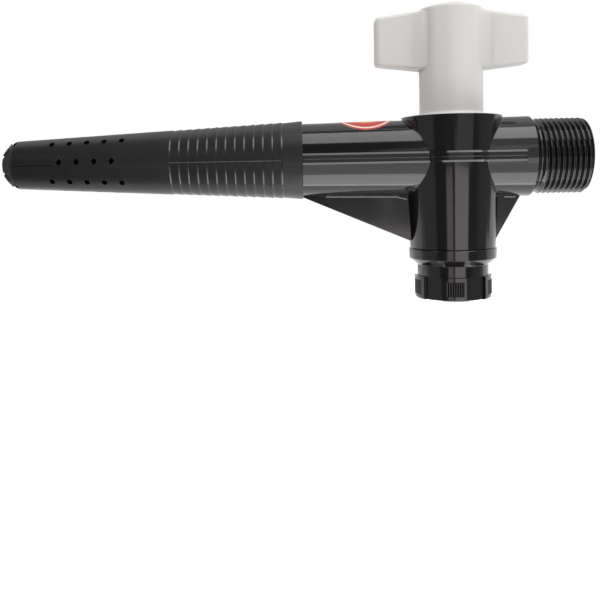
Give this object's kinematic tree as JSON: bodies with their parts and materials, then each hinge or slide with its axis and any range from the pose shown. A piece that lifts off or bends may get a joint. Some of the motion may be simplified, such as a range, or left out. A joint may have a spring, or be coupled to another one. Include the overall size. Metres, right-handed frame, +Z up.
{
  "type": "cask tap",
  "caption": "Plastic cask tap with a tapered strainer shank, a barrel crossing an upright plug housing, a T-handle key, a hand nut below and a male threaded outlet.",
  "frame": {"origin": "on the flow axis, in the plane of the shoulder at the big end of the strainer shank", "axes": "+X along the flow from the nose to the outlet, +Z up along the plug's axis, the handle in line with X when the tap is open"},
  "size_m": [0.2564, 0.044, 0.1293],
  "materials": {
    "body_black": "glossy black moulded plastic",
    "shank_grey": "matt charcoal moulded plastic",
    "key_white": "satin off-white moulded plastic",
    "washer_black": "black nylon, hidden but for its edge",
    "cap_black": "glossy black moulded plastic"
  },
  "bodies": {
    "tap": {"tap_body": "body_black", "strainer_shank": "shank_grey"},
    "key": {"handle_key": "key_white", "keyed_washer": "washer_black", "retaining_cap": "cap_black"}
  },
  "joints": [
    {"name": "key_turn", "type": "hinge", "parent": "tap", "child": "key", "pos_m": [0.0663, 0, 0], "axis": [0, 0, 1], "continuous": true}
  ]
}
